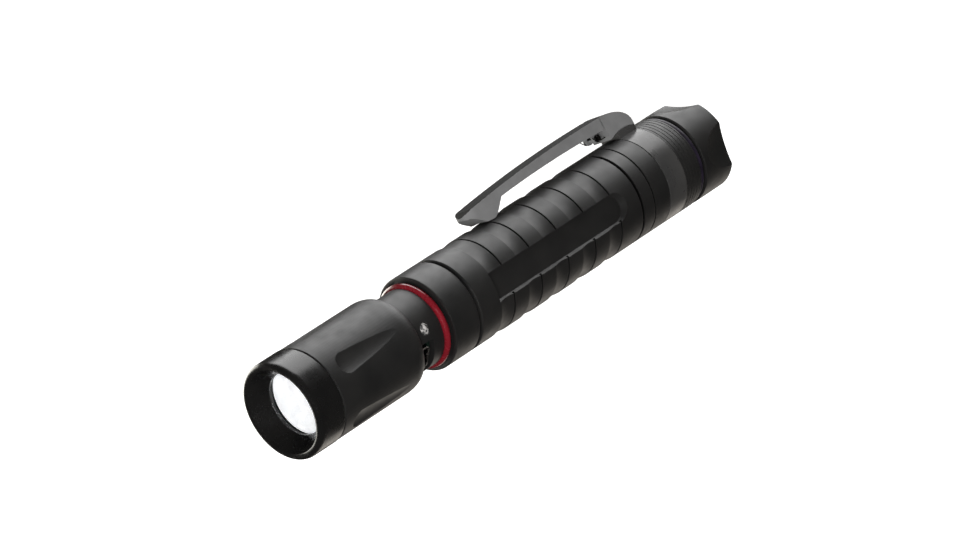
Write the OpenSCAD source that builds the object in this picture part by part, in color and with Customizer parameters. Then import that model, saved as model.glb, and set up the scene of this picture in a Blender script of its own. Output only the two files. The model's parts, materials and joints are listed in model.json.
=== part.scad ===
// Tactical flashlight with a twist-to-expose charge port, a sprung pocket clip and a tail switch.
// It stands on its tail: Z is the axis, the bezel is up and the clip is on the +X side.
// The origin is the centre of the tail's end face. The head is drawn unscrewed, with the port open.

/* [Body] */
// Outer radius of the barrel, the collar and the tail cap
body_r = 12; // [11.9:0.05:12.4]
// Radius of the battery bore
bore_r = 9.5; // [9.4:0.05:9.6]
// Outer radius of the neck and its thread
neck_r = 9.9; // [9.8:0.05:9.95]
// Radius of the neck's bore
neck_bore_r = 8.3; // [8.2:0.05:8.35]
// Outer radius of the barrel's threaded rear spigot
spigot_r = 10.6; // [10.5:0.05:10.7]

/* [Stations along the axis] */
// Front face of the tail cap
tail_top = 10.5; // [10.4:0.05:10.6]
// Rear face of the ribbed lock ring
lock_z = 12.55; // [12.5:0.05:12.6]
// Rear face of the clip ring
ring_z = 18.25; // [18.2:0.05:18.3]
// Rear shoulder of the barrel
shoulder_z = 24.6; // [24.5:0.05:24.7]
// Front end of the barrel
barrel_top = 95.1; // [94.9:0.1:95.2]
// Front face of the collar
collar_top = 104.5; // [104.3:0.1:104.6]
// Front end of the neck
neck_top = 134; // [133.5:0.1:134]
// Rear end of the head, unscrewed
head_z = 114.8; // [114.7:0.1:115]
// Joint between the head shell and the bezel ring
bezel_z = 143.15; // [143.1:0.05:143.2]
// Highest point of the bezel's rim
rim_z = 151.5; // [151.2:0.1:152]

/* [Head] */
// Outer radius of the head shell
head_r = 12.1; // [12:0.05:12.4]
// Outer radius of the bezel ring
bezel_r = 12.2; // [12.1:0.05:12.5]
// Radius of the light opening
light_r = 7.8; // [7.4:0.1:8]
// Radius of the bezel's rounded crest
crest_r = 11.15; // [11:0.05:11.3]
// Number of finger scallops round the head
head_scallops = 5; // [3:1:6]
// Greatest half width of a head scallop
scallop_half = 2.75; // [2.2:0.05:3]

/* [Barrel] */
// Distance from one grip groove to the next
grip_pitch = 10; // [9.9:0.05:10.1]
// Number of grip grooves
grip_count = 5; // [4:1:5]
// Depth of the shallow scoop between two grip grooves
scoop_depth = 0.28; // [0.2:0.02:0.4]
// Length of the side pocket
pocket_len = 48.6; // [30:0.1:49]
// Width of the side pocket's floor
pocket_w = 6.7; // [5:0.1:7]
// Distance from the axis to the pocket's floor
pocket_floor = 10.7; // [10.65:0.05:11.3]

/* [Clip] */
// Width of the clip's arm
clip_w = 6.4; // [6.2:0.1:7]
// Height of the arm's crest above the axis
arm_crest = 18.85; // [18.7:0.05:19.3]
// Height of the arm's underside above the axis, at its highest
arm_under = 16; // [15.9:0.05:16.1]
// Front tip of the arm
arm_tip_z = 78.7; // [78.4:0.1:79.5]
// Rear end of the arm, at the seam
arm_rear_z = 27.75; // [27.75:0.05:27.9]

/* [Tail] */
// Radius of the button's opening
button_hole_r = 6.4; // [6.2:0.1:6.6]
// Depth of the button below the tail's end face
button_recess = 1.3; // [0.8:0.1:1.8]
// Radius of the ball that cuts a tail scallop
crown_ball_r = 33; // [32.5:0.1:33.2]

/* [Hidden] */
$fn = 96;

cut = 1;                                     // how far a cutter runs past the face it opens
seat_gap = 0.03;                             // radial gap of a piece screwed or pressed home
run_gap = 0.05;                              // radial gap of a running thread
face_gap = 0.05;                             // axial gap between two stacked pieces
edge = 0.25;                                 // chamfer on a turned edge
seam_half = 0.1;                             // half the visible gap at the bezel joint

// Tail cap and switch
button_lip_z = 2.4;                          // inner face of the end wall
switch_bore_r = 9;                           // bore that holds the switch
switch_seat_z = 6.2;                         // step between the switch bore and the thread
spigot_z = 7.5;                              // rear end of the barrel's spigot, screwed home
crown_ball_x = 42.9;                         // distance from the axis to the ball's centre
crown_ball_z = -2.85;
crown_turn = -12;                            // direction of the first tail scallop
button_gap = 0.4;
button_flange_r = 7.6;
button_flange_h = 1.2;
button_flange_z = button_lip_z + face_gap;
plunger_r = 1.6;
plunger_z = button_flange_z + button_flange_h;
plunger_top = 6;
switch_cavity_r = 1.95;
switch_z = 5.6;
switch_top = 9.4;
switch_r = 4.6;
cavity_top = 9.1;
holder_r = 8.95;
holder_skirt_r = 7.9;                        // clears the button's flange
holder_plate_z = 5.5;
holder_neck_r = 8;
holder_top = 9.6;
retainer_in_r = 8.2;
retainer_z = switch_seat_z + face_gap;
retainer_top = 7.35;
switch_board_z = holder_top + face_gap;
switch_board_top = 10.65;

// Battery: a standard 18 by 65 cell with its button
cell_r = 9.2;
cell_z = 17.5;
cell_top = 82.3;
cap_r = 3;
cap_top = 83.9;
insulator_r = 8.9;
insulator_h = 0.3;
insulator_hole_r = 3.6;

// Barrel
neck_z = 86;                                 // rear end of the neck, inside the barrel
socket_r = neck_r + seat_gap;                // bore that takes the neck
thread_r = spigot_r + run_gap;               // tail cap's thread
grip_z = 43.3;                               // rearmost grip groove
groove_w = 0.5;
groove_depth = 0.45;
scoop_len = 4.85;
scoop_r = (pow(scoop_len / 2, 2) + pow(scoop_depth, 2)) / (2 * scoop_depth);
wide_groove_z = 35;
wide_groove_w = 0.9;
wide_groove_depth = 0.9;
thin_groove_z = 30.5;
spigot_root_r = 10.15;                       // relief between the two lands that the thread is cut in
spigot_root_z = 7.9;
spigot_root_top = 10.3;
pocket_z = 64.1;                             // middle of the pocket
pocket_turn = -92;                           // direction of the first pocket

// Seals: mean radius, section radius and station
head_seal_r = 10;
head_seal_t = 0.85;
head_seal_z = 105.45;
neck_seal_r = 9.4;
neck_seal_t = 0.55;
neck_seal_z = 118.6;
tail_seal_r = 10.95;
tail_seal_t = 0.8;
tail_seal_z = 11.55;

// Collar and lock ring
collar_z = 96;
collar_step_r = 11.1;                        // bottom of the dark groove behind the collar
collar_round = 0.35;                         // radius of the collar's front edge
collar_recess_r = 11.2;                      // shallow recess round the head seal
collar_recess_z = 104;
lock_rib_pitch = 1.1;
lock_rib_w = 0.3;
lock_rib_depth = 0.07;
lock_rib_count = 5;

// Charge port and indicator in the neck
port_turn = -137;
port_slot = [4.6, 9.6];                      // along the axis, round the neck
port_corner = 1.2;
board_r = 8.25;
charge_board_z = 109.6;
charge_board_top = 110.6;
port_shell = [2.9, 7.6];                     // height and width of the metal shell
port_wall = 0.3;
port_depth = 5.4;
port_mouth_r = 9;
port_tongue = [0.55, 4.4];
port_z = charge_board_top + face_gap + port_shell[0] / 2;
indicator_turn = -90.8;
indicator_z = 111;
indicator_r = 1.5;
indicator_in_r = 8.4;
indicator_face_r = 9.3;                      // rim of the lens; its dome stays below the head's bore
indicator_dome_r = 2.2;

// Electronics stack inside the neck
contact_board_z = 88.5;
contact_board_top = 89.6;
driver_z = 93;
driver_top = 94.2;
spacer_in_r = 7.4;
heat_sink_z = 115.4;
heat_sink_top = 120.4;
led_board_top = 121.55;
led_board_z = heat_sink_top + face_gap;
led_size = 3.45;
led_base_h = 0.7;
led_dome_r = 1.45;
wire_r = 0.5;
wire_hole_r = 0.65;
wire_at = 6.4;                               // distance from the axis to each lead
wire_turns = [40, 62];

// Optic: a keyed holder that slides in the neck and carries the lens
key_turn = 90;
key_w = 1.6;
key_r = 8.62;
key_slot_r = 8.95;
key_gap = 0.15;
key_slot_z = 121.65;
holder_lens_z = 129.9;
holder_lens_r = 8.1;
holder_lens_in_r = 7.65;
holder_floor_top = 130.8;
holder_eye_r = 3.4;
flange_z = 142.95;
flange_top = 144.1;
flange_r = 9.8;
optic_z = 130.9;
optic_base_r = 3.7;
optic_shoulder_z = 143.3;
optic_shoulder_r = 7.55;
optic_flange_r = 8.5;
optic_top = 144;
optic_cup_r = 2.2;
optic_cup_h = 4.5;
optic_bulge = 1.1;                           // how far the optic's side bows out of a cone
optic_steps = 12;

// Head and bezel
head_bore_r = neck_r + 0.1;                  // thread and seal land
catch_z = 142.25;                            // inner lip that carries the optic's flange
catch_top = 142.8;
catch_r = 9;
tenon_r = 10.7;                              // front tenon that the bezel screws onto
tenon_top = 144.25;
head_rear_r = 10.9;                          // rear end, after the rounded shoulder
shoulder_len = 3.4;
bezel_bore_r = tenon_r + seat_gap;
window_r = 10.4;
window_z = tenon_top + face_gap;
window_top = 145.85;
gasket_top = 146.25;
bezel_lip_z = 146.3;
cone_z = 146.85;                             // inner end of the bezel's cone
rim_round_z = 1.5;                           // height of the rim's rounding
rim_inner_r = 0.85;
rim_inner_z = 0.55;
rim_inner_span = [99, 171];                  // angles of the rim's inner round
scallop_z = 137;                             // centre of a scallop's round front end
scallop_end_z = 120.1;                       // rear tip of a scallop
scallop_ball_r = 8;
scallop_depth = pow(scallop_half, 2) * (1 / scallop_ball_r + 1 / head_r) / 2;
scallop_tilt = atan(scallop_depth / (scallop_z - scallop_end_z));

// Clip: the arm swings on a pin in the bracket, and two small coils press its foot onto the barrel
pin_x = 14.5;
pin_z = 30;
pin_r = 0.5;
pin_len = 5;
lug_r = 0.8;
lug_w = 1.7;
cheek_r = 1.05;
cheek_y = 0.95;
cheek_w = 0.7;
coil_y = 1.7;
coil_r = 0.8;
coil_wire_r = 0.11;
arm_bow_r = 406;
arm_bow_z = 34;
under_bow_r = 371;
under_bow_z = 44;
foot_gap = 0.2;                              // between the foot and the barrel
foot_z = 71.4;
foot_x = 11.72;
foot_rear_z = 69.8;
foot_front_z = 73.8;
foot_top_z = 66.6;
tip_r = 0.7;
tip_x = 15.3;
tip_span = [40, 200];                        // angles of the tip's round nose
nose_len = 2;                                // from the end of the arm's bowed top to the tip
arm_steps = 14;
bracket_z = 18;
bracket_top = 27.2;
bracket_x = 12.65;                           // underside of the bracket's two ends
bracket_rear_x = 13.9;
bracket_crest_x = 18.8;
arch_x = 2;                                  // the bracket's underside arches over the ring's boss
arch_z = 22.2;
arch_r = 11.6;
boss_w = 6.8;
tongue_w = 2.6;                              // key between the ring's boss and the bracket
tongue_top = 14.3;

// Springs: radius of the first and last turn, radius of the wire and number of turns
front_spring_r = [1.8, 3.4];
front_wire_r = 0.3;
tail_spring_r = [4.6, 3];
tail_wire_r = 0.4;
contact_turns = 4;
switch_spring_r = 1.2;
switch_wire_r = 0.16;
switch_turns = 5;
clip_turns = 2;
coil_sides = 8;
coil_steps = 14;                             // facets for each turn

// Parts on the driver board: where each stands, its size or radius, and its height
inductor_at = [-5, -3.6];
inductor = [4.8, 4.8, 2.6];
chip_at = [-5.6, 1.9];
chip = [3.4, 2.4, 0.9];
capacitors = [[2.4, -3.4, 1.7], [-1.2, 3.6, 1.4]];
capacitor_h = 3.4;

module disc(r, z0, z1) {
    translate([0, 0, z0]) cylinder(r = r, h = z1 - z0);
}

module tube(r_out, r_in, z0, z1) {
    difference() {
        disc(r_out, z0, z1);
        disc(r_in, z0 - cut, z1 + cut);
    }
}

// Ring-shaped cutter that leaves a groove of bottom radius r
module groove(r, z, width) {
    tube(body_r + cut, r, z - width / 2, z + width / 2);
}

module seal(r_mid, r_tube, z) {
    rotate_extrude() translate([r_mid, z]) circle(r = r_tube, $fn = 48);
}

// Turns its child so that the child's Z points outwards and its X points back along the axis
module facing_out(turn, z) {
    rotate([0, 0, turn]) translate([0, 0, z]) rotate([0, 90, 0]) children();
}

module around(count, first = 0) {
    for (i = [0 : count - 1]) rotate([0, 0, first + i * 360 / count]) children();
}

// Points of an elliptical arc in the (radius, height) plane
function arc(c, rx, rz, a0, a1, n = 10) =
    [for (i = [0 : n]) let (a = a0 + (a1 - a0) * i / n) [c[0] + rx * cos(a), c[1] + rz * sin(a)]];

// Round wire wound from z0 up to z1, from radius ends[0] to radius ends[1]
module coil(ends, wire, z0, z1, turns) {
    n = turns * coil_steps;
    s = coil_sides;
    points = [for (i = [0 : n]) let (t = i / n, a = 360 * turns * t,
                                       r = ends[0] + (ends[1] - ends[0]) * t)
        for (j = [0 : s - 1]) let (b = 360 * j / s, q = r + wire * cos(b))
            [q * cos(a), q * sin(a), z0 + wire + (z1 - z0 - 2 * wire) * t + wire * sin(b)]];
    sides = [for (i = [0 : n - 1]) for (j = [0 : s - 1]) let (k = (j + 1) % s)
        [i * s + j, i * s + k, (i + 1) * s + k, (i + 1) * s + j]];
    ends = [[for (j = [s - 1 : -1 : 0]) j], [for (j = [0 : s - 1]) n * s + j]];
    polyhedron(points = points, faces = concat(sides, ends), convexity = 10);
}

// ---------------------------------------------------------------- head

module bezel_ring() {
    z0 = bezel_z + seam_half;
    color("#1b1c1e") rotate_extrude() polygon(concat(
        [[bezel_bore_r, z0], [bezel_r - edge, z0], [bezel_r, z0 + edge]],
        arc([crest_r, rim_z - rim_round_z], bezel_r - crest_r, rim_round_z, 0, 90),
        arc([crest_r, rim_z - rim_inner_z], rim_inner_r, rim_inner_z, rim_inner_span[0],
            rim_inner_span[1], 6),
        [[light_r, cone_z], [light_r, bezel_lip_z], [bezel_bore_r, bezel_lip_z]]));
}

module window_gasket() {
    color("#101010") tube(window_r, light_r + face_gap, window_top + face_gap, gasket_top);
}

module window_lens() {
    color("#dfe8ee") disc(window_r, window_z, window_top);
}

// One finger scallop: a tilted round cut with a round front end
module head_scallop_cut() {
    reach = scallop_ball_r - scallop_depth;
    intersection() {
        translate([head_r + reach, 0, scallop_z]) rotate([0, -scallop_tilt, 0])
            translate([0, 0, -2 * (scallop_z - scallop_end_z)])
                cylinder(r = scallop_ball_r, h = 3 * (scallop_z - scallop_end_z));
        facing_out(0, scallop_z) linear_extrude(2 * head_r) {
            circle(r = scallop_half);
            translate([0, -scallop_half]) square([2 * (scallop_z - scallop_end_z), 2 * scallop_half]);
        }
    }
}

module head_shell() {
    z1 = bezel_z - seam_half;
    color("#232527") difference() {
        rotate_extrude() polygon(concat(
            [[head_bore_r, head_z]],
            arc([head_rear_r, head_z + shoulder_len], head_r - head_rear_r, shoulder_len, -90, 0),
            [[head_r, z1 - edge], [head_r - edge, z1], [tenon_r, z1], [tenon_r, tenon_top],
             [head_bore_r, tenon_top], [head_bore_r, catch_top], [catch_r, catch_top],
             [catch_r, catch_z], [head_bore_r, catch_z]]));
        around(head_scallops) head_scallop_cut();
    }
}

// ---------------------------------------------------------------- optic

module optic_holder() {
    color("#161616") difference() {
        union() {
            disc(holder_lens_r, holder_lens_z, flange_z);
            disc(flange_r, flange_z, flange_top);
            facing_out(key_turn, 0) translate([-flange_z, -key_w / 2, 0])
                cube([flange_z - holder_lens_z, key_w, key_r]);
        }
        disc(holder_lens_in_r, holder_floor_top, flange_top + cut);
        disc(holder_eye_r, holder_lens_z - cut, holder_floor_top + cut);
        disc(optic_flange_r + seat_gap, optic_shoulder_z, flange_top + cut);
    }
}

module tir_optic() {
    rise = optic_shoulder_z - optic_z;
    side = [for (i = [0 : optic_steps]) let (t = i / optic_steps)
        [optic_base_r + (optic_shoulder_r - optic_base_r) * t + optic_bulge * sin(180 * t),
         optic_z + rise * t]];
    color("#eef3f6") rotate_extrude() polygon(concat(
        [[0, optic_z + optic_cup_h], [optic_cup_r, optic_z + optic_cup_h], [optic_cup_r, optic_z]],
        [for (p = side) [min(p[0], optic_shoulder_r), p[1]]],
        [[optic_flange_r, optic_shoulder_z + face_gap], [optic_flange_r, optic_top], [0, optic_top]]));
}

// ---------------------------------------------------------------- neck and electronics

module neck_housing() {
    color("#26282a") difference() {
        tube(neck_r, neck_bore_r, neck_z, neck_top);
        tube(neck_r + cut, head_seal_r - head_seal_t, head_seal_z - head_seal_t - face_gap,
             head_seal_z + head_seal_t + face_gap);
        tube(neck_r + cut, neck_seal_r - neck_seal_t, neck_seal_z - neck_seal_t - face_gap,
             neck_seal_z + neck_seal_t + face_gap);
        port_slot_cut();
        facing_out(indicator_turn, indicator_z) cylinder(r = indicator_r + seat_gap, h = 2 * neck_r);
        facing_out(key_turn, 0) translate([-neck_top - cut, -key_w / 2 - key_gap, 0])
            cube([neck_top + cut - key_slot_z, key_w + 2 * key_gap, key_slot_r]);
    }
}

// Slot with round corners, cut through the neck's wall for the charge plug
module port_slot_cut() {
    reach = [port_slot[0] / 2 - port_corner, port_slot[1] / 2 - port_corner];
    facing_out(port_turn, port_z) linear_extrude(2 * neck_r) {
        for (x = [-1, 1], y = [-1, 1]) translate([x * reach[0], y * reach[1]]) circle(r = port_corner);
        square([port_slot[0], 2 * reach[1]], center = true);
        square([2 * reach[0], port_slot[1]], center = true);
    }
}

module head_seal() {
    color("#c01a1f") seal(head_seal_r, head_seal_t, head_seal_z);
}

module neck_seal() {
    color("#141414") seal(neck_seal_r, neck_seal_t, neck_seal_z);
}

module charge_indicator() {
    bulge = indicator_dome_r - sqrt(pow(indicator_dome_r, 2) - pow(indicator_r, 2));
    color("#e8ece8") facing_out(indicator_turn, indicator_z) intersection() {
        translate([0, 0, indicator_in_r])
            cylinder(r = indicator_r, h = indicator_face_r + bulge - indicator_in_r);
        translate([0, 0, indicator_face_r + bulge - indicator_dome_r])
            sphere(r = indicator_dome_r);
    }
}

// Metal shell with bent lower corners, open outwards, and the contact tongue inside it
module usb_port() {
    color("#c9ccd0") facing_out(port_turn, port_z) translate([0, 0, port_mouth_r - port_depth]) {
        difference() {
            linear_extrude(port_depth) port_outline(port_shell, 0);
            translate([0, 0, port_wall]) linear_extrude(port_depth) port_outline(port_shell, port_wall);
        }
        translate([-port_tongue[0] / 2, -port_tongue[1] / 2, port_wall])
            cube([port_tongue[0], port_tongue[1], port_depth - 4 * port_wall]);
    }
}

module port_outline(size, wall) {
    x = size[0] / 2 - wall;
    y = size[1] / 2 - wall;
    polygon([[-x, -y], [-x, y], [0, y], [x, y - x], [x, x - y], [0, -y]]);
}

module charge_board() {
    color("#0d4a36") difference() {
        disc(board_r, charge_board_z, charge_board_top);
        lead_holes(charge_board_z - cut, charge_board_top + cut, wire_hole_r);
    }
}

module lead_holes(z0, z1, r) {
    for (turn = wire_turns) rotate([0, 0, turn]) translate([wire_at, 0, z0]) cylinder(r = r, h = z1 - z0);
}

module led_emitter() {
    color("#f2c94c") {
        translate([-led_size / 2, -led_size / 2, led_board_top])
            cube([led_size, led_size, led_base_h]);
        intersection() {
            translate([0, 0, led_board_top + led_base_h]) sphere(r = led_dome_r);
            disc(led_dome_r + cut, led_board_top + led_base_h, led_board_top + led_base_h + led_dome_r);
        }
    }
}

module led_board() {
    color("#d8dadb") disc(board_r, led_board_z, led_board_top);
}

module heat_sink() {
    color("#b87333") difference() {
        disc(board_r, heat_sink_z, heat_sink_top);
        lead_holes(heat_sink_z - cut, heat_sink_top + cut, wire_hole_r);
    }
}

module lead_wires() {
    color("#a31515") lead_holes(driver_top + face_gap, heat_sink_top, wire_r);
}

module board_spacers() {
    color("#1a1a1a") {
        tube(board_r, spacer_in_r, contact_board_top + face_gap, driver_z - face_gap);
        tube(board_r, spacer_in_r, driver_top + face_gap, charge_board_z - face_gap);
    }
}

module driver_board() {
    color("#0d4a36") disc(board_r, driver_z, driver_top);
}

// Inductor, two capacitors and a controller chip
module driver_parts() {
    color("#3a3a3c") translate([0, 0, driver_top + face_gap]) {
        translate(inductor_at) cube(inductor);
        translate(chip_at) cube(chip);
        for (c = capacitors) translate([c[0], c[1]]) cylinder(r = c[2], h = capacitor_h);
    }
}

module contact_board() {
    color("#0d4a36") disc(board_r, contact_board_z, contact_board_top);
}

module front_contact_spring() {
    color("#d9c27a") coil(front_spring_r, front_wire_r, cap_top + 2 * face_gap,
                          contact_board_z - face_gap, contact_turns);
}

// ---------------------------------------------------------------- barrel

module front_collar() {
    color("#232527") rotate_extrude() polygon(concat(
        [[socket_r, barrel_top + face_gap], [collar_step_r, barrel_top + face_gap],
         [collar_step_r, collar_z], [body_r - edge, collar_z], [body_r, collar_z + edge]],
        arc([body_r - collar_round, collar_top - collar_round], collar_round, collar_round, 0, 90),
        [[collar_recess_r, collar_top], [collar_recess_r, collar_recess_z],
         [socket_r, collar_recess_z]]));
}

// Shallow round scoop that ends at a grip groove
module scoop_cut(z) {
    rotate_extrude() translate([body_r - scoop_depth + scoop_r, z + scoop_len / 2])
        circle(r = scoop_r, $fn = 180);
}

// Long slot milled flat into the barrel's side: its upper wall and its front end are upright, and
// its lower wall and its round rear end slope at 45 degrees
module pocket_cut() {
    depth = body_r - pocket_floor;
    half = pocket_w / 2;
    top = half + depth + cut;
    reach = pocket_len / 2 - half - depth;
    facing_out(0, pocket_z) translate([0, 0, pocket_floor]) intersection() {
        union() {
            translate([reach, 0, 0]) cylinder(r1 = half, r2 = top, h = depth + cut);
            translate([-pocket_len / 2, 0, 0]) rotate([90, 0, 90])
                linear_extrude(pocket_len / 2 + reach)
                    polygon([[-half, 0], [half, 0], [half, depth + cut], [-top, depth + cut]]);
        }
        translate([-pocket_len, -2 * pocket_w, -cut])
            cube([2 * pocket_len, 2 * pocket_w + half, depth + 3 * cut]);
    }
}

module barrel() {
    color("#232527") difference() {
        rotate_extrude() polygon([
            [bore_r, spigot_z], [spigot_r, spigot_z], [spigot_r, spigot_root_z],
            [spigot_root_r, spigot_root_z], [spigot_root_r, spigot_root_top],
            [spigot_r, spigot_root_top], [spigot_r, shoulder_z],
            [body_r - edge, shoulder_z], [body_r, shoulder_z + edge], [body_r, barrel_top - edge],
            [body_r - edge, barrel_top], [socket_r, barrel_top], [socket_r, neck_z],
            [bore_r, neck_z]]);
        for (i = [0 : grip_count - 1]) {
            groove(body_r - groove_depth, grip_z + i * grip_pitch, groove_w);
            scoop_cut(grip_z + i * grip_pitch);
        }
        groove(body_r - wide_groove_depth, wide_groove_z, wide_groove_w);
        groove(body_r - groove_depth, thin_groove_z, groove_w);
        groove(tail_seal_r - tail_seal_t, tail_seal_z, 2 * tail_seal_t + face_gap);
        around(2, pocket_turn) pocket_cut();
    }
}

module battery_cap() {
    color("#cfd2d4") disc(cap_r, cell_top, cap_top);
}

module battery_insulator() {
    color("#e6e2d3") tube(insulator_r, insulator_hole_r, cell_top, cell_top + insulator_h);
}

module battery_cell() {
    color("#2f6f9f") rotate_extrude() polygon([
        [0, cell_z], [cell_r - edge, cell_z], [cell_r, cell_z + edge],
        [cell_r, cell_top - edge], [cell_r - edge, cell_top], [0, cell_top]]);
}

// ---------------------------------------------------------------- clip

module clip_ring() {
    z1 = shoulder_z - face_gap;
    color("#1c1d1f") difference() {
        union() {
            disc(body_r, ring_z, z1);
            intersection() {
                translate([0, -boss_w / 2, ring_z]) cube([tongue_top, boss_w, z1 - ring_z]);
                arch(arch_r - face_gap, boss_w);
            }
            translate([0, -tongue_w / 2, ring_z]) cube([tongue_top, tongue_w, z1 - ring_z]);
        }
        disc(thread_r, ring_z - cut, z1 + cut);
    }
}

// Round bar across the clip, on which the bracket sits
module arch(r, width) {
    translate([arch_x, 0, arch_z]) rotate([90, 0, 0]) cylinder(r = r, h = width + cut, center = true);
}

module clip_bracket() {
    color("#4a4c4e") difference() {
        union() {
            rotate([90, 0, 0]) linear_extrude(clip_w, center = true) polygon(concat(
                [[bracket_x, bracket_top], [bracket_x, bracket_z]],
                arc([bracket_rear_x, bracket_top], bracket_crest_x - bracket_rear_x,
                    bracket_top - bracket_z, -90, 0)));
            rotate([90, 0, 0]) linear_extrude(lug_w, center = true) {
                translate([pin_x, pin_z]) circle(r = lug_r);
                translate([pin_x - lug_r, bracket_top - cut])
                    square([2 * lug_r, pin_z - bracket_top + cut]);
            }
        }
        arch(arch_r, clip_w);
        translate([bracket_x - cut, -tongue_w / 2 - seat_gap, ring_z - seat_gap])
            cube([tongue_top + seat_gap - bracket_x + cut, tongue_w + 2 * seat_gap, shoulder_z - ring_z]);
        translate([pin_x, 0, pin_z]) rotate([90, 0, 0])
            cylinder(r = pin_r + seat_gap, h = lug_w + cut, center = true);
    }
}

module clip_pin() {
    color("#8d9093") translate([pin_x, 0, pin_z]) rotate([90, 0, 0])
        cylinder(r = pin_r, h = pin_len, center = true);
}

module clip_spring() {
    color("#3a3b3d") for (side = [0, 1]) mirror([0, side, 0])
        translate([pin_x, 0, pin_z]) rotate([-90, 0, 0])
            coil([coil_r, coil_r], coil_wire_r, coil_y, pin_len / 2, clip_turns);
}

function arm_top_x(z) = arm_crest - pow(z - arm_bow_z, 2) / (2 * arm_bow_r);
function arm_under_x(z) = arm_under - pow(z - under_bow_z, 2) / (2 * under_bow_r);

module clip_arm() {
    top_len = arm_tip_z - nose_len - arm_rear_z;
    under_len = foot_top_z - arm_rear_z;
    top = [for (i = [0 : arm_steps]) let (z = arm_rear_z + top_len * i / arm_steps) [arm_top_x(z), z]];
    under = [for (i = [0 : arm_steps]) let (z = foot_top_z - under_len * i / arm_steps)
        [arm_under_x(z), z]];
    color("#4a4c4e") difference() {
        union() {
            intersection() {
                rotate([90, 0, 0]) linear_extrude(clip_w, center = true) polygon(concat(
                    top,
                    arc([tip_x, arm_tip_z - tip_r], tip_r, tip_r, tip_span[0], tip_span[1], 6),
                    [[foot_x + edge, foot_front_z], [foot_x, foot_z + edge], [foot_x, foot_z - edge],
                     [foot_x + 3 * edge, foot_rear_z]],
                    under));
                rotate([0, 90, 0]) linear_extrude(2 * arm_crest) translate([clip_w / 2 - arm_tip_z, 0]) {
                    circle(r = clip_w / 2);
                    translate([0, -clip_w]) square([arm_tip_z, 2 * clip_w]);
                }
            }
            for (side = [-1, 1]) translate([0, side * (cheek_y + cheek_w / 2), 0]) rotate([90, 0, 0])
                linear_extrude(cheek_w, center = true) {
                    translate([pin_x, pin_z]) circle(r = cheek_r);
                    translate([pin_x, pin_z - cheek_r])
                        square([arm_under - pin_x, 2 * cheek_r]);
                }
        }
        translate([pin_x, 0, pin_z]) rotate([90, 0, 0])
            cylinder(r = pin_r + run_gap, h = clip_w, center = true);
        disc(body_r + foot_gap, foot_top_z, arm_tip_z);
    }
}

module lock_ring() {
    z1 = ring_z - face_gap;
    first = (lock_z + z1) / 2 - lock_rib_pitch * (lock_rib_count - 1) / 2;
    color("#26282a") difference() {
        tube(body_r, thread_r, lock_z, z1);
        for (i = [0 : lock_rib_count - 1])
            groove(body_r - lock_rib_depth, first + i * lock_rib_pitch, lock_rib_w);
    }
}

module tail_seal() {
    color("#2b1f33") seal(tail_seal_r, tail_seal_t, tail_seal_z);
}

// ---------------------------------------------------------------- tail and switch

module tail_cap() {
    color("#26282a") difference() {
        rotate_extrude() polygon([
            [button_hole_r, 0], [body_r - edge, 0], [body_r, edge], [body_r, tail_top - edge],
            [body_r - edge, tail_top], [thread_r, tail_top], [thread_r, switch_seat_z],
            [switch_bore_r, switch_seat_z], [switch_bore_r, button_lip_z],
            [button_hole_r, button_lip_z]]);
        around(4, crown_turn) translate([crown_ball_x, 0, crown_ball_z])
            sphere(r = crown_ball_r, $fn = 128);
    }
}

module tail_button() {
    r = button_hole_r - button_gap;
    color("#19191a") rotate_extrude() polygon(concat(
        [[0, button_recess]],
        arc([r - 2 * edge, button_recess + 2 * edge], 2 * edge, 2 * edge, -90, 0, 4),
        [[r, button_flange_z], [button_flange_r, button_flange_z], [button_flange_r, plunger_z],
         [0, plunger_z]]));
}

module switch_plunger() {
    color("#d8d8d8") disc(plunger_r, plunger_z, plunger_top);
}

module switch_spring() {
    color("#b9bcc0") coil([switch_spring_r, switch_spring_r], switch_wire_r, plunger_top + face_gap,
                          cavity_top - face_gap, switch_turns);
}

module switch_holder() {
    color("#1a1a1a") difference() {
        union() {
            disc(holder_r, button_flange_z, switch_seat_z);
            disc(holder_neck_r, switch_seat_z, holder_top);
        }
        disc(holder_skirt_r, button_flange_z - cut, holder_plate_z);
        disc(plunger_r + button_gap, holder_plate_z - cut, switch_z + cut);
        disc(switch_r + seat_gap, switch_z, holder_top + cut);
    }
}

module switch_body() {
    color("#303033") difference() {
        disc(switch_r, switch_z + face_gap, switch_top);
        disc(switch_cavity_r, switch_z - cut, cavity_top);
    }
}

module switch_retainer() {
    color("#b8964a") tube(spigot_r, retainer_in_r, retainer_z, retainer_top);
}

module switch_board() {
    color("#0d4a36") disc(holder_neck_r - face_gap, switch_board_z, switch_board_top);
}

module tail_contact_spring() {
    color("#d9c27a") coil(tail_spring_r, tail_wire_r, switch_board_top + face_gap, cell_z - face_gap,
                          contact_turns);
}

bezel_ring();
window_gasket();
window_lens();
head_shell();
optic_holder();
tir_optic();
neck_housing();
head_seal();
neck_seal();
charge_indicator();
usb_port();
charge_board();
led_emitter();
led_board();
heat_sink();
lead_wires();
board_spacers();
driver_board();
driver_parts();
contact_board();
front_contact_spring();
front_collar();
barrel();
battery_cap();
battery_insulator();
battery_cell();
clip_ring();
clip_bracket();
clip_pin();
clip_spring();
clip_arm();
lock_ring();
tail_seal();
tail_cap();
tail_button();
switch_plunger();
switch_spring();
switch_holder();
switch_body();
switch_retainer();
switch_board();
tail_contact_spring();
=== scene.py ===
"""Looks of the tactical flashlight: materials, fine pieces, floor, lights and camera.

The light stands on its tail, with +Z towards the bezel and +X towards the clip. Everything is in metres.
"""
import json
import math

import bmesh
import bpy
from mathutils import Matrix, Vector


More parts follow.
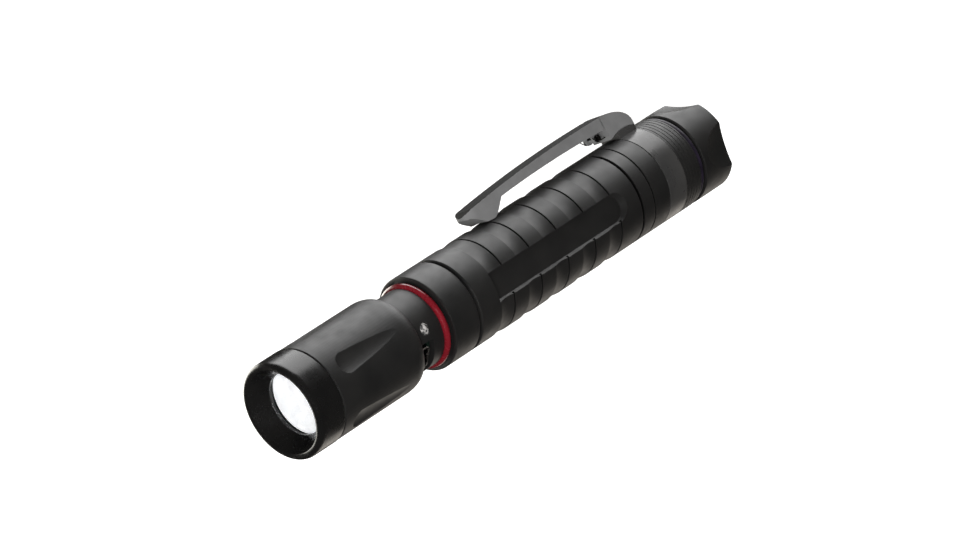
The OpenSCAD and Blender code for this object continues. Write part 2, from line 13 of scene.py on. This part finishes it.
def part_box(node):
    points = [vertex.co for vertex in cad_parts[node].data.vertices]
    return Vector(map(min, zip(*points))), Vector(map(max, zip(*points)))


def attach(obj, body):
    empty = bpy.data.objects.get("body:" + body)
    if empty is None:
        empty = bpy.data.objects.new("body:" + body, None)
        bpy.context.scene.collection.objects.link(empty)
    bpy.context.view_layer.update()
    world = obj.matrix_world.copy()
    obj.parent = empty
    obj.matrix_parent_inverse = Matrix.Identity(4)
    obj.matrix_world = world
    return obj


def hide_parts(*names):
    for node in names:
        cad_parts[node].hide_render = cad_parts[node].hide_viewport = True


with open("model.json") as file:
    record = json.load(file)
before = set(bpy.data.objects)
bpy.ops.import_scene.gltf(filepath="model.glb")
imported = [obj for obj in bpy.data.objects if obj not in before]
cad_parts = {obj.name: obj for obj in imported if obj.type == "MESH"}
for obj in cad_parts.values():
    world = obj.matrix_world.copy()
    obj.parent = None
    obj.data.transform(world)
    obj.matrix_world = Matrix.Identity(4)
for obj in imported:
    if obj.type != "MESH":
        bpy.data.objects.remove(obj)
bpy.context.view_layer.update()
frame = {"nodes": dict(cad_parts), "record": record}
nodes = frame["nodes"]
MM = 0.001


# ------------------------------------------------------------------ material building blocks

class Look:
    """One procedural material. Its patterns lie in object space, and sizes are in millimetres."""

    def __init__(self, name, **sockets):
        self.material = bpy.data.materials.new(name)
        self.material.use_nodes = True
        self.tree = self.material.node_tree
        self.shader = self.tree.nodes["Principled BSDF"]
        self.place = self.tree.nodes.new("ShaderNodeTexCoord").outputs["Object"]
        self.normal = None
        for socket, value in sockets.items():
            self.shader.inputs[socket.replace("_", " ")].default_value = value

    def node(self, kind, inputs=(), **settings):
        made = self.tree.nodes.new(kind)
        for key, value in settings.items():
            setattr(made, key, value)
        for key, value in dict(inputs).items():
            if isinstance(value, bpy.types.NodeSocket):
                self.tree.links.new(value, made.inputs[key])
            else:
                made.inputs[key].default_value = value
        return made

    def noise(self, size, detail=2.0, roughness=0.5):
        """Noise with features of the given size, one number or one for each axis."""
        sizes = size if isinstance(size, tuple) else (size,) * 3
        scale = tuple(1 / (s * MM) for s in sizes)
        spread = self.node("ShaderNodeMapping", {"Vector": self.place, "Scale": scale})
        return self.node("ShaderNodeTexNoise", {"Vector": spread.outputs[0], "Scale": 1.0,
                                                "Detail": detail, "Roughness": roughness}).outputs["Fac"]

    def cells(self, size, feature="F1"):
        scale = (1 / (size * MM),) * 3
        spread = self.node("ShaderNodeMapping", {"Vector": self.place, "Scale": scale})
        return self.node("ShaderNodeTexVoronoi", {"Vector": spread.outputs[0], "Scale": 1.0},
                         feature=feature).outputs["Distance"]

    def turned(self, size):
        """Lines round the Z axis, as a lathe leaves them."""
        return self.noise((60.0, 60.0, size), detail=3.0, roughness=0.6)

    def between(self, fac, low, high, start=0.3, end=0.7):
        return self.node("ShaderNodeMapRange", {"Value": fac, "From Min": start, "From Max": end,
                                                "To Min": low, "To Max": high}).outputs["Result"]

    def math(self, operation, first, second=0.0):
        return self.node("ShaderNodeMath", {0: first, 1: second}, operation=operation).outputs[0]

    def blend(self, fac, first, second):
        mixed = self.node("ShaderNodeMix", data_type="RGBA")
        for socket, value in ((mixed.inputs[0], fac), (mixed.inputs[6], first), (mixed.inputs[7], second)):
            if isinstance(value, bpy.types.NodeSocket):
                self.tree.links.new(value, socket)
            else:
                socket.default_value = value
        return mixed.outputs[2]

    def edges(self, radius):
        """1 on sharp convex or concave edges, 0 on open faces."""
        soft = self.node("ShaderNodeBevel", {"Radius": radius * MM}, samples=4).outputs[0]
        true = self.node("ShaderNodeNewGeometry").outputs["Normal"]
        alike = self.node("ShaderNodeVectorMath", {0: soft, 1: true}, operation="DOT_PRODUCT")
        return self.between(alike.outputs["Value"], 1.0, 0.0, start=0.75, end=0.99)

    def soften(self, radius):
        """Rounds the shading of sharp edges."""
        self.normal = self.node("ShaderNodeBevel", {"Radius": radius * MM}, samples=4).outputs[0]
        return self

    def bump(self, height, depth):
        """Adds relief of the given depth, in millimetres."""
        inputs = {"Height": height, "Distance": depth * MM, "Strength": 1.0}
        if self.normal is not None:
            inputs["Normal"] = self.normal
        self.normal = self.node("ShaderNodeBump", inputs).outputs[0]
        return self

    def color(self, value):
        return self.link("Base Color", value)

    def rough(self, value):
        return self.link("Roughness", value)

    def link(self, socket, value):
        self.tree.links.new(value, self.shader.inputs[socket])
        return self

    def done(self):
        if self.normal is not None:
            self.tree.links.new(self.normal, self.shader.inputs["Normal"])
        return self.material


def grey(value, warm=0.0):
    return (value * (1 + warm), value, value * (1 - warm), 1.0)


# ------------------------------------------------------------------ materials

def groove_shade_mask(look):
    """Mask of painted shade: 1 in the barrel's turned grooves and in its recesses rear of pocket_end, 0 on
    its surface and in its side pockets.
    """
    first_grip, pitch, pocket_end, blur = 0.0433, 0.01, 0.039, 0.0001
    groove_side, groove_floor, surface = (0.0003, 0.0004), (0.0114, 0.01145), (0.01165, 0.01178)
    flat = look.node("ShaderNodeVectorMath", {0: look.place, 1: (1, 1, 0)}, operation="MULTIPLY")
    radius = look.node("ShaderNodeVectorMath", {0: flat.outputs[0]}, operation="LENGTH").outputs["Value"]
    height = look.node("ShaderNodeSeparateXYZ", {0: look.place}).outputs["Z"]
    along = look.math("FLOORED_MODULO", look.math("SUBTRACT", height, first_grip - pitch / 2), pitch)
    beside = look.math("ABSOLUTE", look.math("SUBTRACT", along, pitch / 2))
    grip = look.math("MULTIPLY", look.between(beside, 1.0, 0.0, *groove_side),
                     look.between(radius, 0.0, 1.0, *groove_floor))
    rear = look.between(height, 1.0, 0.0, start=pocket_end - blur, end=pocket_end)
    below = look.between(radius, 1.0, 0.0, *surface)
    return look.math("MULTIPLY", look.math("MAXIMUM", grip, rear), below)


def anodised(name, shade, roughness, lines=0.3, line_depth=0.0035, edge=1.6, grooves=False):
    """Black anodised aluminium: lathe lines, blasted grain, faint handling marks and paler edges, partly
    wear and partly painted highlight.

    With grooves, it is dull in the barrel's turned grooves, and painted shade darkens them.
    """
    look = Look(name, IOR=1.5)
    patches = look.noise(9.0, detail=4.0)
    base = look.blend(look.between(patches, 0.0, 1.0), grey(shade * 0.8), grey(shade * 1.25, 0.03))
    # partly wear, partly painted highlight: sharp convex and concave edges are paled in place of the light
    # that rounded edges catch
    base = look.blend(look.edges(0.12), base, grey(shade * edge))
    gloss = look.between(look.noise(3.0, detail=5.0), roughness - 0.05, roughness + 0.06)
    if grooves:
        groove_shade = groove_shade_mask(look)
        # painted shade: the grooves' base colour drops to a quarter, as if in shadow
        base = look.blend(groove_shade, base, grey(shade * 0.25))
        gloss = look.node("ShaderNodeMix", {0: groove_shade, 2: gloss, 3: 0.95}).outputs[0]
    look.color(base)
    look.rough(gloss)
    look.soften(0.1)
    look.bump(look.turned(lines), line_depth)
    look.bump(look.noise(0.08, detail=1.0), 0.0016)
    return look.done()


def grained(name, first, second, roughness, grain=0.22, depth=0.01, edge_shade=None, painted_top_shade=None,
            specular=0.5):
    """Moulded plastic: fine grain, soft blotches, worn edges, and painted shade on the faces towards +X.
    """
    look = Look(name, Specular_IOR_Level=specular)
    base = look.blend(look.between(look.noise(4.0, detail=4.0), 0.0, 1.0), first, second)
    if edge_shade:
        base = look.blend(look.edges(0.2), base, edge_shade)
    if painted_top_shade:
        # painted shade: faces towards +X are darkened, as the side the light misses
        facing = look.node("ShaderNodeTexCoord").outputs["Normal"]
        upward = look.node("ShaderNodeSeparateXYZ", {0: facing}).outputs["X"]
        base = look.blend(look.between(upward, 0.0, 1.0, start=0.15, end=0.4), base, painted_top_shade)
    look.color(base)
    look.rough(look.between(look.noise(1.5, detail=3.0), roughness - 0.06, roughness + 0.06))
    look.soften(0.12)
    look.bump(look.noise(grain, detail=2.0), depth)
    return look.done()


def rubber(name, first, second, roughness, coat=0.0):
    """Moulded rubber: slow colour drift, faint dust and a fine skin."""
    look = Look(name, Coat_Weight=coat, Coat_Roughness=0.12)
    look.color(look.blend(look.between(look.noise(3.0, detail=5.0), 0.0, 1.0), first, second))
    look.rough(look.between(look.noise(0.8, detail=4.0), roughness - 0.08, roughness + 0.08))
    look.bump(look.noise(0.35, detail=3.0), 0.006)
    return look.done()


def metal(name, first, second, roughness, lines=(0.4, 0.4, 0.08)):
    """Bare or plated metal with fine drawn lines and slight tarnish."""
    look = Look(name, Metallic=1.0)
    look.color(look.blend(look.between(look.noise(1.2, detail=4.0), 0.0, 1.0), first, second))
    look.rough(look.between(look.noise(lines, detail=3.0), roughness - 0.07, roughness + 0.1))
    look.bump(look.noise(lines, detail=2.0), 0.002)
    return look.done()


def board(name, mask, bare, gap):
    """Lacquered circuit board with a faint copper pattern under the lacquer."""
    look = Look(name, Coat_Weight=0.5, Coat_Roughness=0.15)
    tracks = look.between(look.cells(gap, feature="DISTANCE_TO_EDGE"), 1.0, 0.0, start=0.06, end=0.1)
    look.color(look.blend(tracks, mask, bare))
    look.rough(look.between(look.noise(0.6, detail=3.0), 0.3, 0.45))
    look.bump(tracks, 0.02)
    return look.done()


def glass(name):
    """Coated window glass, with a trace of fine dust in its gloss."""
    look = Look(name, IOR=1.5, Transmission_Weight=1.0)
    look.color(look.blend(look.between(look.noise(2.0, detail=4.0), 0.0, 1.0),
                          (0.96, 0.98, 1.0, 1), (1.0, 1.0, 1.0, 1)))
    look.rough(look.between(look.noise(0.5, detail=5.0), 0.01, 0.05))
    return look.done()


def lit_optic(name):
    """Moulded optic filled with the emitter's light: near white, with soft darker cells."""
    look = Look(name, IOR=1.49)
    swirl = look.noise(3.0, detail=5.0, roughness=0.62)
    shade = look.between(swirl, 0.5, 1.0, start=0.34, end=0.56)
    tint = look.blend(shade, (0.62, 0.62, 0.64, 1), (0.97, 0.97, 0.97, 1))
    look.color(tint)
    look.link("Emission Color", tint)
    look.shader.inputs["Emission Strength"].default_value = 0.75
    look.rough(look.between(look.noise(0.5, detail=2.0), 0.12, 0.3))
    look.bump(look.cells(0.9), 0.05)
    return look.done()


def indicator(name):
    """Clear moulded lens of the charge light, with darker and paler patches."""
    look = Look(name, IOR=1.55, Transmission_Weight=0.35, Coat_Weight=1.0, Coat_Roughness=0.05)
    look.color(look.blend(look.between(look.noise(0.7, detail=3.0), 0.0, 1.0, start=0.42, end=0.58),
                          grey(0.1), grey(0.75, 0.03)))
    look.rough(look.between(look.noise(0.4, detail=2.0), 0.05, 0.2))
    look.bump(look.cells(0.7), 0.08)
    return look.done()


def wrapped(name, sleeve):
    """Shrunk plastic sleeve, with slow colour drift and faint rings."""
    look = Look(name, Coat_Weight=0.3, Coat_Roughness=0.2)
    dark = tuple(c * 0.75 for c in sleeve[:3]) + (1,)
    look.color(look.blend(look.between(look.noise((8.0, 8.0, 20.0), detail=3.0), 0.0, 1.0), dark, sleeve))
    look.rough(look.between(look.noise(2.0, detail=4.0), 0.25, 0.4))
    look.bump(look.noise((6.0, 6.0, 1.5), detail=2.0), 0.02)
    return look.done()


MATERIALS = {
    "black_anodised": anodised("black_anodised", 0.012, 0.46),
    # the barrel's material: painted shade darkens its grooves
    "groove_shaded_anodised": anodised("groove_shaded_anodised", 0.012, 0.46, grooves=True),
    "black_bezel": anodised("black_bezel", 0.006, 0.26, lines=0.2, line_depth=0.001, edge=2.0),
    "black_ring": anodised("black_ring", 0.04, 0.3, lines=0.8, line_depth=0.001, edge=2.0),
    "window_glass": glass("window_glass"),
    "clear_optic": lit_optic("clear_optic"),
    "red_seal": rubber("red_seal", (0.13, 0.006, 0.011, 1), (0.18, 0.009, 0.016, 1), 0.26, coat=0.6),
    "violet_seal": rubber("violet_seal", (0.01, 0.008, 0.014, 1), (0.02, 0.015, 0.028, 1), 0.5),
    "black_rubber": rubber("black_rubber", grey(0.012), grey(0.022), 0.6),
    "button_rubber": rubber("button_rubber", grey(0.014), grey(0.024), 0.65),
    # the clip's faces towards +X get painted shade
    "clip_grey": grained("clip_grey", grey(0.15), grey(0.18), 0.6, edge_shade=grey(0.2),
                         painted_top_shade=grey(0.008), specular=0.15),
    "dark_spring": metal("dark_spring", grey(0.05), grey(0.1), 0.4),
    "bright_steel": metal("bright_steel", grey(0.55), grey(0.72), 0.25),
    "gold_spring": metal("gold_spring", (0.75, 0.55, 0.22, 1), (0.85, 0.68, 0.35, 1), 0.25),
    "brass": metal("brass", (0.6, 0.42, 0.16, 1), (0.75, 0.56, 0.26, 1), 0.3, (6.0, 6.0, 0.15)),
    "copper": metal("copper", (0.68, 0.34, 0.17, 1), (0.8, 0.45, 0.27, 1), 0.32, (6.0, 6.0, 0.15)),
    "circuit_board": board("circuit_board", (0.004, 0.009, 0.007, 1), (0.01, 0.02, 0.015, 1), 1.3),
    "white_board": board("white_board", grey(0.78), grey(0.62), 2.2),
    "chip_plastic": grained("chip_plastic", grey(0.02), grey(0.035), 0.5, grain=0.1, depth=0.006),
    "black_plastic": grained("black_plastic", grey(0.012), grey(0.025), 0.5),
    "white_plastic": grained("white_plastic", grey(0.7), grey(0.8), 0.45),
    "wire_sleeve": rubber("wire_sleeve", (0.35, 0.01, 0.01, 1), (0.5, 0.02, 0.02, 1), 0.4),
    "led_phosphor": rubber("led_phosphor", (0.85, 0.6, 0.08, 1), (0.95, 0.75, 0.2, 1), 0.3, coat=0.8),
    "indicator_lens": indicator("indicator_lens"),
    "battery_wrap": wrapped("battery_wrap", (0.02, 0.12, 0.3, 1)),
    "battery_washer": grained("battery_washer", (0.6, 0.56, 0.42, 1), (0.7, 0.67, 0.55, 1), 0.8),
}

OWN_FINISH = {"barrel": "groove_shaded_anodised", "clip_pin": "dark_spring"}  # nodes finished unlike their slot

for part in frame["record"]["subparts"]:
    shown = nodes[part["node"]]
    shown.data.materials.clear()
    shown.data.materials.append(MATERIALS[OWN_FINISH.get(part["node"], part["material_slot"])])


# ------------------------------------------------------------------ mesh building blocks

def piece(name, mesh, body, slot, replaced=(), smooth=True):
    """Puts a mesh in the scene as one piece of the object."""
    made = bpy.data.objects.new(name, mesh)
    bpy.context.scene.collection.objects.link(made)
    mesh.materials.append(MATERIALS[slot])
    if smooth:
        mesh.shade_smooth()
    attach(made, body)
    if replaced:
        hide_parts(*replaced)
    return made


def mesh_of(name, points, faces):
    mesh = bpy.data.meshes.new(name)
    mesh.from_pydata([tuple(c * MM for c in p) for p in points], [], faces)
    shape = bmesh.new()
    shape.from_mesh(mesh)
    bmesh.ops.remove_doubles(shape, verts=shape.verts, dist=1e-7)
    bmesh.ops.recalc_face_normals(shape, faces=shape.faces)
    shape.to_mesh(mesh)
    shape.free()
    return mesh


def sweep(path, radius, sides=12):
    """Points and faces of a round wire along a path of points, closed at both ends."""
    path = [Vector(p) for p in path]
    points, faces = [], []
    up = Vector((0.3, 0.5, 0.81))
    for i, p in enumerate(path):
        along = (path[min(i + 1, len(path) - 1)] - path[max(i - 1, 0)]).normalized()
        across = (up - along * up.dot(along)).normalized()
        up = across
        third = along.cross(across)
        for j in range(sides):
            a = 2 * math.pi * j / sides
            points.append(p + radius * (math.cos(a) * across + math.sin(a) * third))
    for i in range(len(path) - 1):
        for j in range(sides):
            k = (j + 1) % sides
            faces.append((i * sides + j, i * sides + k, (i + 1) * sides + k, (i + 1) * sides + j))
    faces.append(tuple(range(sides - 1, -1, -1)))
    faces.append(tuple(range(len(points) - sides, len(points))))
    return points, faces


def joined(parts):
    """Joins several (points, faces) pairs into one."""
    points, faces = [], []
    for more_points, more_faces in parts:
        start = len(points)
        points += more_points
        faces += [tuple(start + i for i in face) for face in more_faces]
    return points, faces


def lathe(profile, steps=96):
    """Points and faces of a profile of (radius, height) pairs turned about the Z axis."""
    points, faces = [], []
    size = len(profile)
    for i in range(steps):
        a = 2 * math.pi * i / steps
        points += [(r * math.cos(a), r * math.sin(a), z) for r, z in profile]
    for i in range(steps):
        here, there = i * size, (i + 1) % steps * size
        faces += [(here + k, there + k, there + k + 1, here + k + 1) for k in range(size - 1)]
    return points, faces


def facing_out(turn, height, points):
    """Turns points so that their Z points outwards from the axis and their X back along it."""
    a = math.radians(turn)
    out, side = Vector((math.cos(a), math.sin(a), 0)), Vector((-math.sin(a), math.cos(a), 0))
    return [out * p[2] + side * p[1] + Vector((0, 0, height - p[0])) for p in points]


def extent(node):
    """Lowest and highest corner of a CAD node, in millimetres."""
    low_corner, high_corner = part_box(node)
    return low_corner / MM, high_corner / MM


# ------------------------------------------------------------------ fine pieces

def spigot_thread():
    """Two-start thread in the relief of the barrel's rear spigot."""
    start, end, lead, radius, ridge = 8.2, 10.0, 2.0, 10.26, 0.2
    count = 60
    ridges = []
    for first in (0, math.pi):
        path = []
        for i in range(count + 1):
            a = first + 2 * math.pi * (end - start) / lead * i / count
            path.append((radius * math.cos(a), radius * math.sin(a), start + (end - start) * i / count))
        ridges.append(sweep(path, ridge, sides=8))
    piece("spigot_thread", mesh_of("spigot_thread", *joined(ridges)), "barrel", "black_anodised")


def torsion_springs():
    """Two close coils on the clip's pin, each with a leg on the bracket and one under the arm."""
    low_corner, high_corner = extent("clip_pin")
    x, z = (low_corner.x + high_corner.x) / 2, (low_corner.z + high_corner.z) / 2
    seat, rise_steps = 27.25, 4
    inner, outer, radius, wire, turns = 1.83, 2.4, 0.8, 0.13, 2
    step, past_turn, leg_step = 15, 3, 0.42
    coils = []
    for side in (-1, 1):
        path = [(x - radius, side * inner, seat + (z - seat) * i / rise_steps)
                for i in range(rise_steps)]
        count = 360 // step * turns + past_turn
        for i in range(count + 1):
            a = math.radians(180 - step * i)
            y = inner + (outer - inner) * i / count
            path.append((x + radius * math.cos(a), side * y, z + radius * math.sin(a)))
        last = Vector(path[-1])
        path += [last + Vector((leg_step, 0, leg_step)) * i for i in (1, 2, 3)]
        coils.append(sweep(path, wire, sides=10))
    piece("torsion_springs", mesh_of("torsion_springs", *joined(coils)), "barrel", "dark_spring",
          replaced=("clip_spring",))


def rubber_button():
    """Tail button with moulded rings on its face."""
    low_corner, high_corner = extent("tail_button")
    face, top, flange = low_corner.z, high_corner.z, high_corner.x
    rim, shoulder, pitch, depth = 6.0, 2.45, 1.1, 0.12
    rings_end, rings_steps, corner, chamfer = 5.2, 40, 0.45, 0.08
    profile = [(0, face)]
    for i in range(1, rings_steps + 1):
        r = rings_end * i / rings_steps
        profile.append((r, face + depth * (0.5 - 0.5 * math.cos(2 * math.pi * r / pitch))))
    profile += [(rim - corner + corner * math.sin(a), face + corner - corner * math.cos(a))
                for a in (math.radians(15 * i) for i in range(7))]
    profile += [(rim, shoulder - 0.02), (rim + 0.05, shoulder), (flange - chamfer, shoulder),
                (flange, shoulder + chamfer), (flange, top - chamfer), (flange - chamfer, top), (0, top)]
    piece("rubber_button", mesh_of("rubber_button", *lathe(profile)), "button", "button_rubber",
          replaced=("tail_button",))


def port_contacts():
    """Five sprung contact strips on the charge port's tongue."""
    low_corner, high_corner = extent("usb_port")
    middle = (low_corner.z + high_corner.z) / 2
    turn, pitch, strip_r = -137, 0.75, 0.1
    strips = []
    for i in range(5):
        y = pitch * (i - 2)
        path = [(-0.33, y, 5.0), (-0.36, y, 6.4), (-0.36, y, 7.2), (-0.3, y, 7.8)]
        strips.append(sweep(facing_out(turn, middle, path), strip_r, sides=8))
    piece("port_contacts", mesh_of("port_contacts", *joined(strips)), "barrel", "gold_spring")


def rounded(node, width, segments=3):
    """Rounds a CAD node's sharp edges without moving its own points."""
    merge = nodes[node].modifiers.new("merge", "DECIMATE")
    merge.decimate_type = "DISSOLVE"
    merge.angle_limit = math.radians(0.5)
    bevel = nodes[node].modifiers.new("round", "BEVEL")
    bevel.width = width * MM
    bevel.segments = segments
    bevel.limit_method = "ANGLE"
    bevel.angle_limit = math.radians(35)


spigot_thread()
torsion_springs()
rubber_button()
port_contacts()
for part in ("clip_arm", "clip_bracket"):
    rounded(part, 0.22)


# ------------------------------------------------------------------ stage, lights and camera

VIEW_AZIMUTH = 10.0
VIEW_ELEVATION = 39.85
VIEW_ROLL = -123.03
VIEW_DISTANCE = 1.0596
VIEW_TARGET = Vector((0.00054, 0, 0.0783))
LENS = 165.64
FLOOR_SIZE = 6.0


def stage():
    size = FLOOR_SIZE / 2
    mesh = bpy.data.meshes.new("floor")
    mesh.from_pydata([(-size, -size, 0), (size, -size, 0), (size, size, 0), (-size, size, 0)], [],
                     [(0, 1, 2, 3)])
    floor = bpy.data.objects.new("floor", mesh)
    bpy.context.scene.collection.objects.link(floor)
    look = Look("pale_floor", Roughness=0.9)
    shade = look.blend(look.noise(400.0), grey(0.8), grey(0.82))
    look.color(shade)
    look.link("Emission Color", shade)
    look.shader.inputs["Emission Strength"].default_value = 1.1
    mesh.materials.append(look.done())
    floor.visible_shadow = False
    floor.visible_glossy = False
    floor.visible_diffuse = False
    world = bpy.data.worlds.new("studio")
    world.use_nodes = True
    world.node_tree.nodes["Background"].inputs["Color"].default_value = (1, 0.92, 0.83, 1)
    world.node_tree.nodes["Background"].inputs["Strength"].default_value = 0.04
    bpy.context.scene.world = world


def softbox(name, centre, aim, size, power, color=(1, 1, 1), shows=True):
    lamp = bpy.data.lights.new(name, "AREA")
    lamp.shape = "RECTANGLE"
    lamp.size, lamp.size_y = size
    lamp.energy = power
    lamp.color = color
    made = bpy.data.objects.new(name, lamp)
    made.location = centre
    made.rotation_mode = "QUATERNION"
    made.rotation_quaternion = (Vector(aim) - Vector(centre)).to_track_quat("-Z", "Y")
    made.visible_camera = False
    made.visible_glossy = shows
    bpy.context.scene.collection.objects.link(made)


def around(azimuth, distance, height):
    a = math.radians(azimuth)
    return Vector((distance * math.cos(a), distance * math.sin(a), height))


def lights():
    middle = (0, 0, 0.08)
    softbox("key", around(4, 0.42, -0.28), middle, (0.6, 0.66), 4.7)
    softbox("fill_side", around(143, 0.45, -0.3), middle, (0.3, 0.6), 0.6, (1.0, 0.93, 0.84))
    softbox("front", around(-97, 0.5, 0.58), middle, (0.5, 0.5), 7.5, shows=False)
    softbox("back", around(80, 0.5, 0.12), (0, 0, 0.15), (0.44, 0.4), 3.0, (1.0, 0.98, 0.9))


def camera():
    a, e, roll = (math.radians(v) for v in (VIEW_AZIMUTH, VIEW_ELEVATION, VIEW_ROLL))
    back = Vector((math.sin(a) * math.cos(e), -math.cos(a) * math.cos(e), math.sin(e)))
    right = Vector((0, 0, 1)).cross(back).normalized()
    up = back.cross(right)
    turned_right = math.cos(roll) * right + math.sin(roll) * up
    turned_up = back.cross(turned_right)
    made = bpy.data.objects.new("camera", bpy.data.cameras.new("camera"))
    made.data.lens = LENS
    made.data.clip_start = 0.01
    made.matrix_world = (Matrix.Translation(VIEW_TARGET + back * VIEW_DISTANCE)
                         @ Matrix((turned_right, turned_up, back)).transposed().to_4x4())
    bpy.context.scene.collection.objects.link(made)
    bpy.context.scene.camera = made
    bpy.context.scene.view_settings.view_transform = "Standard"


stage()
lights()
camera()
